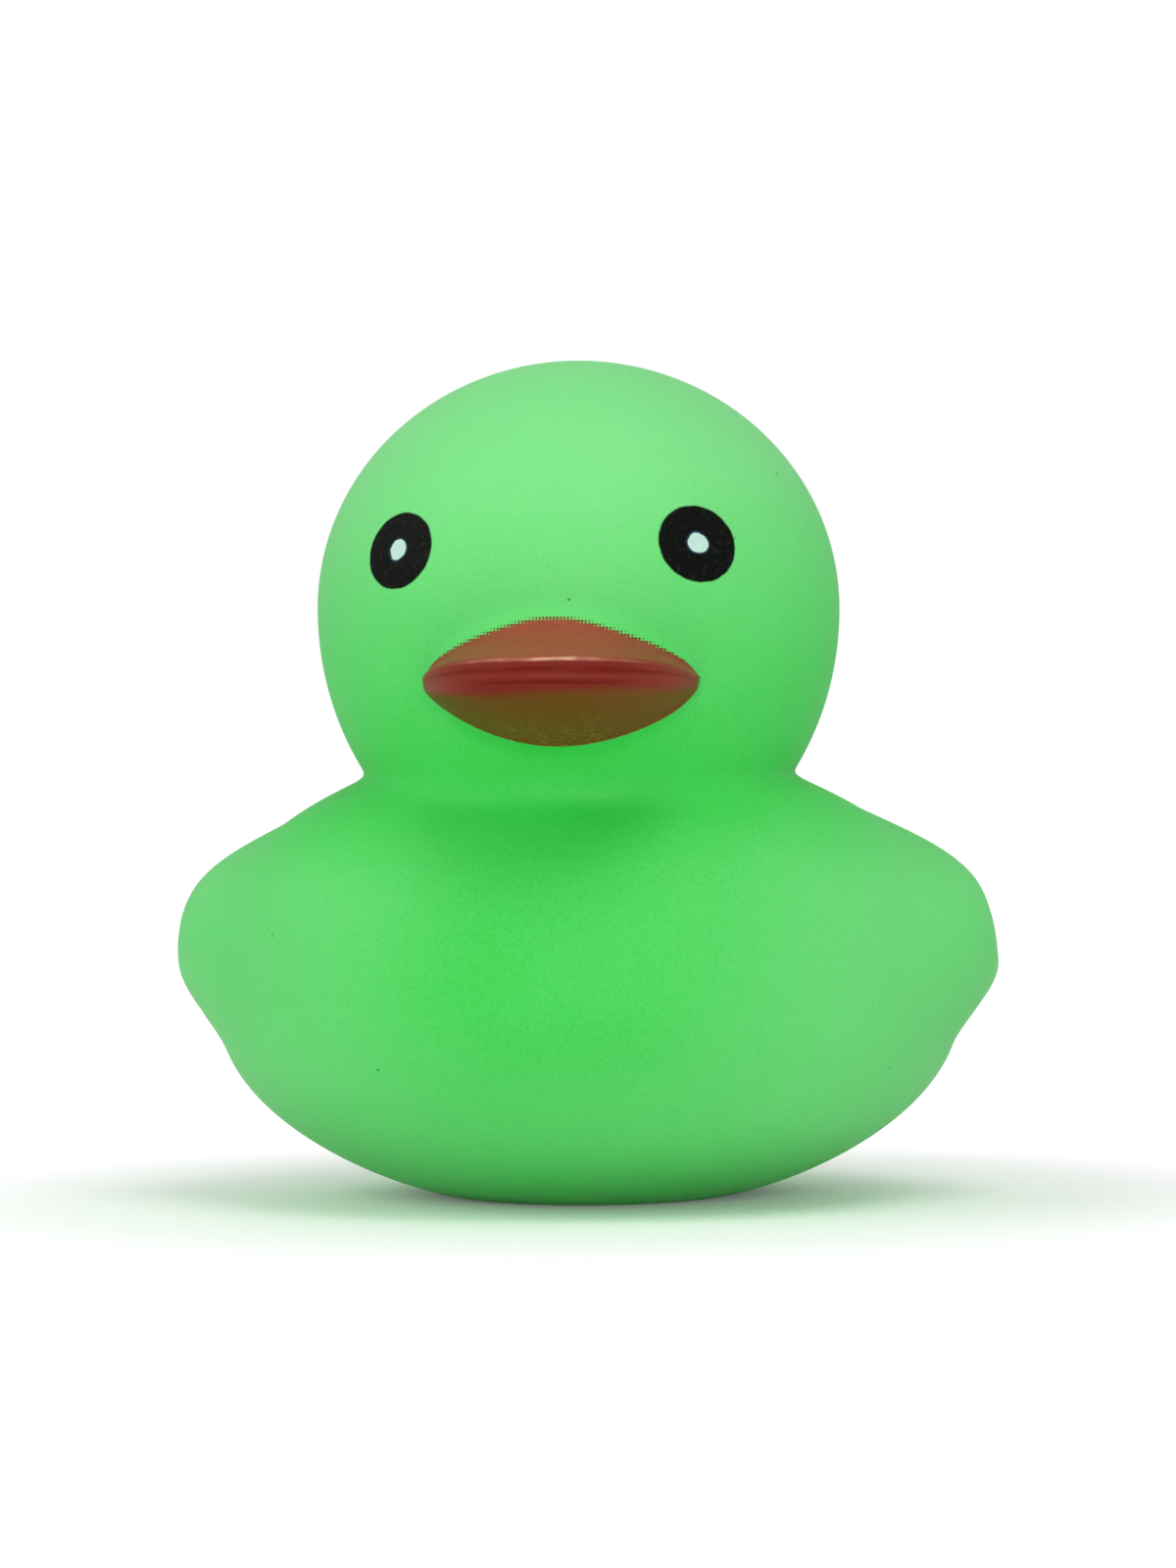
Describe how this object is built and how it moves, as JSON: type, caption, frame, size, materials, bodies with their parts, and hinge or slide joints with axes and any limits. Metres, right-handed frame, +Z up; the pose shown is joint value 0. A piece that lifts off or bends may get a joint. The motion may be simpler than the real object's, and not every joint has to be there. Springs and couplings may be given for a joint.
{
  "type": "rubber duck",
  "caption": "Small hollow vinyl bath duck with an upturned tail, low wing lobes, painted bill, printed eyes and a squeaker pressed into its flat base.",
  "frame": {"origin": "on the floor under the middle of the duck's bounding box", "axes": "the duck looks along -Y, +Z is up, and +X is on the viewer's right from the front"},
  "size_m": [0.0494, 0.056, 0.05],
  "materials": {
    "green_vinyl": "matte",
    "squeaker_plastic": "satin",
    "reed_film": "satin"
  },
  "bodies": {
    "root": {"duck_body": "green_vinyl", "squeaker": "squeaker_plastic", "squeaker_reed": "reed_film"}
  },
  "joints": []
}
